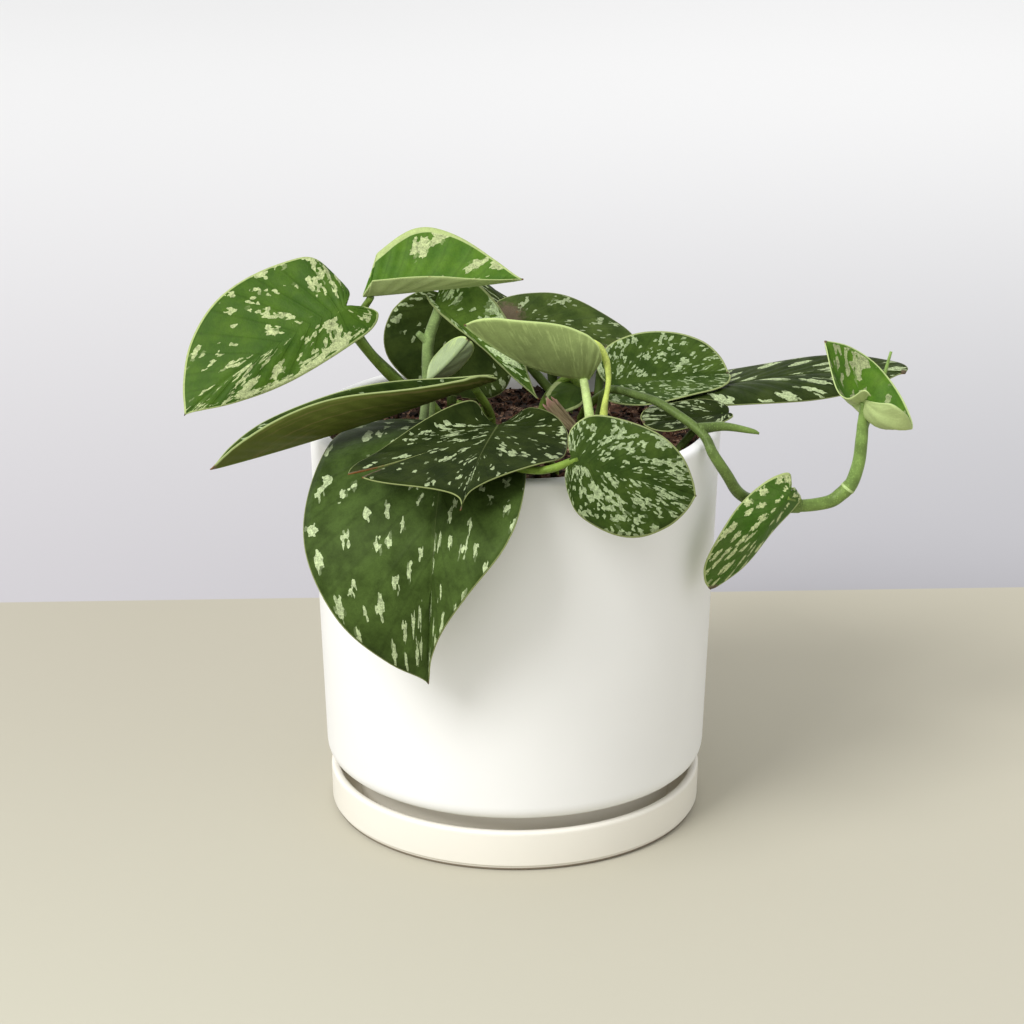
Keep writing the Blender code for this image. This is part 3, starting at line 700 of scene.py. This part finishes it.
def stalkPoints(points, thick, steps=8):
    # the stalk's middle line and radii, with a straight piece down its hole in the soil
    # thick: radii spread evenly from the start to the end
    rooted = points[0][2] == soilTop
    if rooted:
        x, y = points[0][:2]
        points = [(x, y, soilTop + stalkRise)] + list(points[1:])
    count = steps * (len(points) - 1) + 1
    path = smoothPath(points, np.linspace(0, 1, count))
    radii = np.interp(np.linspace(0, 1, count), np.linspace(0, 1, len(thick)), thick)
    if rooted:
        path = np.vstack([[(x, y, soilTop - holeDepth)], path])
        radii = np.append([thick[0]], radii)
    return path, radii


def bladeNormal(shape, s):
    direction = midrib(shape, [s])[1][0]
    right, left = np.array(shape["right"], float), np.array(shape["left"], float)
    normal = np.cross(right / np.linalg.norm(right) - left / np.linalg.norm(left), direction)
    return normal / np.linalg.norm(normal)


def stalkToBlade(shape):
    # the stalk ends inside the blade's thickness, under its base
    reach = bladeBuild["stalkReach"]
    point = midrib(shape, [reach])[0][0]
    normal = bladeNormal(shape, reach)
    last = point - np.array(shape["stalk"][-1], float)
    rise = float(last @ normal) / np.linalg.norm(last)
    under = shape["thick"][-1] * math.sqrt(max(0.0, 1 - rise * rise)) - bladeBuild["stalkSink"]
    return list(shape["stalk"]) + [tuple(point - normal * max(under, 0.0))]


def leafPiece(node, shape):
    name = node + "_grown"
    blade = bladePiece(name, shape)
    finish = {**leafFinish[shape["kind"]], **shape["paint"]}
    skin = stalkSkin(name + "_stalk", finish["stalk"], shape["seed"])
    pieces = [blade]
    for number, (points, *thick) in enumerate([(stalkToBlade(shape), *shape["thick"])] + shape["grown"]):
        path, radii = stalkPoints(points, thick)
        pieces.append(tubePiece(name + str(number), path, radii, skin))
    piece = joined(pieces, name)
    activate(piece)
    bpy.ops.object.shade_smooth()
    standFor(piece, node)


for node, shape in leaves.items():
    leafPiece(node, shape)
print("leaves done")


# vine and bare stalks

# painted shade: how dark the stem starts where it runs under the leaves, and from where to where on the
# right it grows bright
# grown: shoots and joints, each its points and radii; pale: light rings
stems = {
    "vine_right": dict(
        path=[(30, 4, 140), (31, 1, 152), (34, -3, 161), (45, -14, 162), (53, -22, 161),
              (66, -32, 154), (70, -38, 148), (75, -37, 140), (80, -31, 131), (87, -24, 125.5),
              (102, -17, 121.3), (114, -12, 121), (119, -11.2, 124), (122, -11, 127)],
        thick=(1.5, 1.5, 1.6, 2.0, 2.2, 2.4, 2.7), colour=(0.165, 0.25, 0.06), dots=0.4,
        paintedShade=(0.42, 35, 112),
        grown=[
            ([(65, -31, 155), (74, -28, 155), (84, -27, 153), (87, -27, 152)], 2.2, 0.4),
            ([(98.5, -18.5, 122.1), (103, -16.6, 121.3)], 2.9, 2.8),
        ],
        pale=[([(120.9, -11.05, 125.7), (121.5, -11, 126.5)], 2.8, 2.75)], ring=(0.42, 0.55, 0.22),
    ),
    "stalk_yellow": dict(
        path=[(32, -12, 140), (32, -12, 155), (33.7, -9, 168), (31, -6, 177.5), (25, -2, 180.7)],
        thick=(1.6, 1.55, 1.45, 0.95, 1.0, 1.35, 1.2, 0.8, 0.6), colour=(0.50, 0.60, 0.13), dots=0.25,
        paintedShade=None,
        grown=[], pale=[],
    ),
}

for node, stem in stems.items():
    skin = stalkSkin(node + "_skin", stem["colour"], dots=stem["dots"], paintedShade=stem["paintedShade"])
    strands = [(skin, stem["path"], *stem["thick"])] + [(skin, *strand) for strand in stem["grown"]]
    if stem["pale"]:
        ring = stalkSkin(node + "_ring", stem["ring"])
        strands += [(ring, *strand) for strand in stem["pale"]]
    pieces = []
    for paint, points, *thick in strands:
        path, radii = stalkPoints(points, thick)
        pieces.append(tubePiece(node + str(len(pieces)), path, radii, paint))
    piece = joined(pieces, node + "_grown")
    activate(piece)
    bpy.ops.object.shade_smooth()
    standFor(piece, node)


# dry leaf sheath: a curled papery strip with a torn top

sheathBuild = dict(
    path=[(22, -3, 132), (22, -3, 140), (21.5, -3, 146), (17, -3, 151), (11.5, -3, 157.5)],
    length=26.0, radii=(1.3, 1.3, 1.5, 2.2, 2.4), curl=2.2, flare=0.12, columns=14, rows=40,
    thickness=0.3, torn=2.6, seed=4,
    brown=(0.15, 0.115, 0.055), pale=(0.30, 0.24, 0.13), fringe=(0.36, 0.19, 0.15), fringeBand=(22, 26),
)


def sheathSkin():
    build = sheathBuild
    material, shader, start = newMaterial("dry_sheath", 0.8)
    place = start.node("Attribute", {"attribute_name": "leafPlace"}, output="Vector")
    across, along = (start.node("SeparateXYZ", None, {0: place}, i) for i in range(2))
    flow = start.node("CombineXYZ", None, {0: across, 1: along * 0.08})
    streaks = flow.noise(0.7, 3, 2.0)
    colour = streaks.ramp(0.38, 0.66).blend(build["brown"], build["pale"])
    colour = along.ramp(*(mm * end for end in build["fringeBand"])).blend(colour, build["fringe"])
    finishMaterial(start, shader, colour, 0.75 + 0.1 * streaks, streaks, 0.25)
    return material


def sheathPiece():
    build = sheathBuild
    draw = np.random.RandomState(build["seed"])
    bpy.ops.object.select_all(action="DESELECT")
    bpy.ops.mesh.primitive_grid_add(x_subdivisions=build["columns"], y_subdivisions=build["rows"], size=2)
    piece = bpy.context.object
    flat = np.array([v.co for v in piece.data.vertices])
    # the top edge is ragged: each column of the grid ends at its own height
    ends = dict(zip(sorted(set(flat[:, 0].round(4))),
                    draw.uniform(0, build["torn"], build["columns"] + 1)))
    cut = np.array([ends[x] for x in flat[:, 0].round(4)])
    share = (flat[:, 1] + 1) / 2 * (1 - cut / build["length"])
    middle = smoothPath(build["path"], share)
    ahead = smoothPath(build["path"], share + 0.01) - smoothPath(build["path"], share - 0.01)
    ahead = ahead / lengths(ahead)
    out = np.cross(ahead, (0, 1, 0))
    out = out / lengths(out)
    front = np.cross(out, ahead)
    angle = flat[:, 0] * build["curl"]
    radius = np.interp(share, np.linspace(0, 1, len(build["radii"])), build["radii"])
    radius = radius * (1 + build["flare"] * np.abs(flat[:, 0]))
    points = middle + out * (radius * np.sin(angle))[:, None] + front * (radius * np.cos(angle))[:, None]
    places = np.stack([radius * angle, share * build["length"], 0 * share], 1)
    attribute = piece.data.attributes.new("leafPlace", "FLOAT_VECTOR", "POINT")
    attribute.data.foreach_set("vector", (places * mm).ravel())
    piece.data.vertices.foreach_set("co", (points * mm).ravel())
    piece.data.materials.append(sheathSkin())
    applyModifier(piece, "SOLIDIFY", thickness=build["thickness"] * mm, offset=0.0)
    piece.name = "sheath_dry_curled"
    activate(piece)
    bpy.ops.object.shade_smooth()
    standFor(piece, "sheath_dry")


sheathPiece()
print("stems done")


# pot and saucer, turned from their outlines

ceramics = {
    # corners of the outline as radius, height and how far the corner is rounded
    # low: colour under lowBand's heights, on the saucer painted contact shadow along its base; inner:
    # colour within innerReach's radii, on the saucer painted shade on its floor under the pot
    "pot": dict(
        corners=[(8, 5, 0), (50.6, 5, 0.8), (51.2, 3.3, 0.6), (58.15, 3.3, 1.0), (58.7, 20, 0.8),
                 (70.6, 20, 6.2), (75.08, 150, 2.7), (69.5, 150, 2.6), (65.35, 25.2, 3.5),
                 (53.2, 25.2, 1.8), (52.6, 10.5, 2.5), (8, 10.5, 0)],
        closed=True, steps=144, colour=(0.86, 0.86, 0.85), roughness=0.42,
        low=(0.86, 0.82, 0.72), lowBand=(18, 20.5), inner=(0.86, 0.86, 0.85), innerReach=(10, 11),
    ),
    "saucer": dict(
        corners=[(0, 0, 0), (68.2, 0, 1.0), (68.5, 1.7, 0.5), (69.2, 2.2, 0.5), (69.5, 15.6, 1.6),
                 (66.2, 15.6, 1.6), (66.0, 3.0, 3.4), (0, 3.0, 0)],
        closed=False, steps=144, colour=(0.80, 0.77, 0.69), roughness=0.45,
        low=(0.22, 0.18, 0.13), lowBand=(0.9, 1.3), inner=(0.80, 0.74, 0.61), innerReach=(64.0, 66.4),
    ),
}


def roundedOutline(corners, closed, steps=7):
    # the outline's points, with each corner turned into an arc
    made = []
    for number, (radius, height, rounding) in enumerate(corners):
        corner = Vector((radius, height))
        if rounding == 0:
            made.append(corner)
            continue
        before = Vector(corners[number - 1][:2]) - corner
        after = Vector(corners[(number + 1) % len(corners)][:2]) - corner
        reach = rounding / math.tan(before.angle(after) / 2)
        reach = min(reach, 0.49 * before.length, 0.49 * after.length)
        start = corner + before.normalized() * reach
        end = corner + after.normalized() * reach
        for step in range(steps + 1):
            t = step / steps
            made.append(start * (1 - t) ** 2 + corner * 2 * t * (1 - t) + end * t * t)
    return made


def openAxis(piece):
    # the edge on the axis isn't turned
    activate(piece)
    bpy.ops.object.mode_set(mode="EDIT")
    bpy.ops.mesh.select_mode(type="EDGE")
    bpy.ops.mesh.select_all(action="DESELECT")
    bpy.ops.object.mode_set(mode="OBJECT")
    for edge in piece.data.edges:
        edge.select = all(piece.data.vertices[v].co.x < 0.1 * mm for v in edge.vertices)
    bpy.ops.object.mode_set(mode="EDIT")
    bpy.ops.mesh.delete(type="EDGE")
    bpy.ops.object.mode_set(mode="OBJECT")


def spinShut(piece, steps):
    inEditMode(
        piece,
        (bpy.ops.mesh.spin, dict(steps=steps, angle=2 * math.pi, center=(0, 0, 0), axis=(0, 0, 1))),
        (bpy.ops.mesh.select_all, dict(action="SELECT")),
        (bpy.ops.mesh.remove_doubles, dict(threshold=0.01 * mm)),
        (bpy.ops.mesh.normals_make_consistent, dict(inside=False)),
    )


def turnedPiece(node, build):
    outline = roundedOutline(build["corners"], build["closed"])
    bpy.ops.object.select_all(action="DESELECT")
    bpy.ops.mesh.primitive_circle_add(vertices=len(outline), radius=1)
    piece = bpy.context.object
    piece.name = node + "_turned"
    for vertex, point in zip(piece.data.vertices, outline):
        vertex.co = (point.x * mm, 0, point.y * mm)
    if not build["closed"]:
        openAxis(piece)
    spinShut(piece, build["steps"])
    activate(piece)
    bpy.ops.object.shade_smooth_by_angle(angle=math.radians(40))
    piece.data.materials.append(glaze(node + "_glaze", build))
    standFor(piece, node)


def glaze(name, build):
    material, shader, start = newMaterial(name, build["roughness"])
    body = start.node("TexCoord", output="Object")
    cloud = body.noise(45, 2).ramp(0.3, 0.7)
    colour = cloud.blend(scaled(build["colour"], 0.975), build["colour"])
    # darker colour low down and inside: on the saucer painted contact shadow along its base and painted
    # shade on its floor under the pot, on the pot a warmer band on its foot
    x, y, z = (start.node("SeparateXYZ", None, {0: body}, i) for i in range(3))
    squared = x * x + y * y
    radius = squared.maths("SQRT", squared)
    colour = radius.ramp(*(mm * end for end in build["innerReach"])).blend(build["inner"], colour)
    colour = z.ramp(*(mm * end for end in build["lowBand"])).blend(build["low"], colour)
    speck = body.noise(1.2, 2)
    rough = build["roughness"] + 0.08 * (speck - 0.5)
    finishMaterial(start, shader, colour, rough, speck + body.noise(9, 1), 0.02)
    return material


for node, build in ceramics.items():
    turnedPiece(node, build)
print("pot and saucer done")


# soil: a rough bed with crumbs of bark and peat on it

soilBuild = dict(
    outline=[(0, 27), (63.3, 27), (68.6, 139.5), (66, 140.2)], rings=44, steps=150, roughness=0.9,
    topReach=66, lumpScales=(120, 420), crumbs=2600, kinds=5, smallest=0.5, largest=1.9,
    crumbReach=67.3, crumbLimit=67.9, crumbLift=0.35, seed=5,
    dark=(0.014, 0.007, 0.004), red=(0.115, 0.050, 0.027), paintedGlint=(0.42, 0.26, 0.17),
)


def soilSkin():
    material, shader, start = newMaterial("potting_soil", 0.85)
    shader.inputs["Specular IOR Level"].default_value = 0.3
    body = start.node("TexCoord", output="Object")
    grains = start.node("SeparateColor", None, {0: body.cells(2.2, "Color", 1.0)})
    fine = body.noise(0.8, 4)
    colour = grains.ramp(0.1, 0.8).blend(soilBuild["dark"], soilBuild["red"])
    # pale specks on some grains: painted glints of light
    colour = (grains.ramp(0.84, 0.88) * fine.ramp(0.4, 0.6)).blend(colour, soilBuild["paintedGlint"])
    finishMaterial(start, shader, colour.shaded(0.5 + fine), 0.7 + 0.2 * fine,
                   fine + body.noise(2.5), 0.5)
    return material


def soilBed():
    # the outline on the pot's inner wall and over the top, turned, with its top made rough
    build = soilBuild
    top = [(build["topReach"] * (1 - step / build["rings"]), soilTop)
           for step in range(1, build["rings"] + 1)]
    outline = build["outline"] + top
    bpy.ops.object.select_all(action="DESELECT")
    bpy.ops.mesh.primitive_circle_add(vertices=len(outline), radius=1)
    bed = bpy.context.object
    for vertex, (radius, height) in zip(bed.data.vertices, outline):
        vertex.co = (radius * mm, 0, height * mm)
    openAxis(bed)
    spinShut(bed, build["steps"])
    coarse, fine = build["lumpScales"]
    for vertex in bed.data.vertices:
        if vertex.co.z > (soilTop - 1) * mm:
            lumps = noise.noise(vertex.co * coarse) + 0.6 * noise.noise(vertex.co * fine)
            vertex.co.z += build["roughness"] * lumps * mm
    return bed


def crumbKinds(draw):
    # points and faces of a few lumpy crumbs, small enough to be copied many times
    kinds = []
    for number in range(soilBuild["kinds"]):
        bpy.ops.object.select_all(action="DESELECT")
        bpy.ops.mesh.primitive_ico_sphere_add(subdivisions=1, radius=1)
        crumb = bpy.context.object
        points = np.array([v.co for v in crumb.data.vertices])
        kinds.append((points * draw.uniform(0.6, 1.2, (len(points), 1)),
                      np.array([face.vertices[:] for face in crumb.data.polygons])))
        bpy.data.objects.remove(crumb)
    return kinds


def crumbHeap():
    # all the crumbs as one mesh, each turned and stretched its own way
    build = soilBuild
    draw = np.random.RandomState(build["seed"])
    kinds = crumbKinds(draw)
    points, faces, count = [], [], 0
    for number in range(build["crumbs"]):
        shape, sides = kinds[number % build["kinds"]]
        reach, turn = build["crumbReach"] * math.sqrt(draw.uniform()), draw.uniform(0, 2 * math.pi)
        size = build["smallest"] + (build["largest"] - build["smallest"]) * draw.uniform() ** 2.5
        reach = min(reach, build["crumbLimit"] - size * 1.2)
        place = (reach * math.cos(turn), reach * math.sin(turn), soilTop + build["crumbLift"] * size)
        rotation = np.array(Euler(draw.uniform(0, 2 * math.pi, 3)).to_matrix())
        stretch = size * draw.uniform(0.6, 1.25, 3)
        points.append((shape * stretch) @ rotation.T + place)
        faces.append(sides + count)
        count += len(shape)
    mesh = bpy.data.meshes.new("crumbs")
    mesh.from_pydata(np.vstack(points) * mm, [], np.vstack(faces).tolist())
    heap = bpy.data.objects.new("crumbs", mesh)
    bpy.context.collection.objects.link(heap)
    return heap


def soilPiece():
    piece = joined([soilBed(), crumbHeap()], "soil_filled")
    piece.data.materials.append(soilSkin())
    activate(piece)
    bpy.ops.object.shade_smooth_by_angle(angle=math.radians(50))
    standFor(piece, "soil")


soilPiece()
print("soil done")


# floor, lights and camera

# the floor is painted beige up to a straight line behind the pot and pale grey beyond it, each in a soft
# blend of four paints: near left, near right, far left, far right. The blends are painted light and shade:
# the beige darkens towards the back left as the lamp's falloff and is lightest at the back right, against
# the plant's shadow there; the grey beyond is a painted lit wall, dark near the line and bright far away
floorBuild = dict(
    span=9000, line=211, slant=0.042,
    near=[(0.490, 0.474, 0.384), (0.473, 0.452, 0.370), (0.432, 0.405, 0.328), (0.505, 0.475, 0.382)],
    nearReach=[(-190, 190), (-350, 211)],
    far=[(0.395, 0.376, 0.402), (0.295, 0.288, 0.318), (0.84, 0.84, 0.84), (0.90, 0.90, 0.90)],
    farReach=[(-350, 350), (-300, 1550)],
)


def fourPaints(x, y, paints, reach):
    side, way = (c.ramp(*(mm * end for end in ends)) for c, ends in zip((x, y), reach))
    return way.blend(side.blend(paints[0], paints[1]), side.blend(paints[2], paints[3]))


def floorPiece():
    build = floorBuild
    bpy.ops.object.select_all(action="DESELECT")
    bpy.ops.mesh.primitive_plane_add(size=build["span"] * mm)
    floor = bpy.context.object
    floor.name = "floor"
    material, shader, start = newMaterial("floor_paint", 0.8)
    shader.inputs["Specular IOR Level"].default_value = 0.2
    body = start.node("TexCoord", output="Object")
    x, y = (start.node("SeparateXYZ", None, {0: body}, i) for i in range(2))
    beyond = (y - x * build["slant"]).ramp((build["line"] - 0.5) * mm, (build["line"] + 0.5) * mm)
    near = fourPaints(x, y, build["near"], build["nearReach"])
    far = fourPaints(x, y, build["far"], build["farReach"])
    finishMaterial(start, shader, beyond.blend(near, far))
    floor.data.materials.append(material)


floorPiece()


lightBuild = {
    # side: degrees from the camera's side round to the right; rise: degrees up; brightness on the object
    "keyLight": dict(side=-43, rise=44, distance=2400, size=1100, brightness=0.92),
}
worldBuild = dict(colour=(1, 1, 1), brightness=0.855)


def softBox(name, side, rise, distance, size, brightness):
    # a square lamp that faces the pot
    side, rise = math.radians(side), math.radians(rise)
    aim = Vector((-math.sin(side) * math.cos(rise), math.cos(side) * math.cos(rise), -math.sin(rise)))
    place = Vector((0, 0, 0.09)) - aim * distance * mm
    bpy.ops.object.light_add(type="AREA", location=place,
                             rotation=aim.to_track_quat("-Z", "Y").to_euler())
    lamp = bpy.context.object
    lamp.name = name
    lamp.data.size = size * mm
    lamp.data.energy = brightness * (math.pi * distance * mm) ** 2


for name, build in lightBuild.items():
    softBox(name, **build)

world = bpy.data.worlds.new("studio")
bpy.context.scene.world = world
world.use_nodes = True
background = world.node_tree.nodes["Background"]
background.inputs["Color"].default_value = (*worldBuild["colour"], 1)
background.inputs["Strength"].default_value = worldBuild["brightness"]
bpy.context.scene.view_settings.view_transform = "Standard"

cameraBuild = dict(place=(-1.1, -1047, 478.6), tilt=70.75, lens=105.6, sensor=36, nearest=50)
bpy.ops.object.camera_add(location=[c * mm for c in cameraBuild["place"]])
camera = bpy.context.object
camera.rotation_euler = (math.radians(cameraBuild["tilt"]), 0, 0)
camera.data.lens = cameraBuild["lens"]
camera.data.sensor_width = cameraBuild["sensor"]
camera.data.clip_start = cameraBuild["nearest"] * mm
bpy.context.scene.camera = camera
print("stage, lights and camera done")
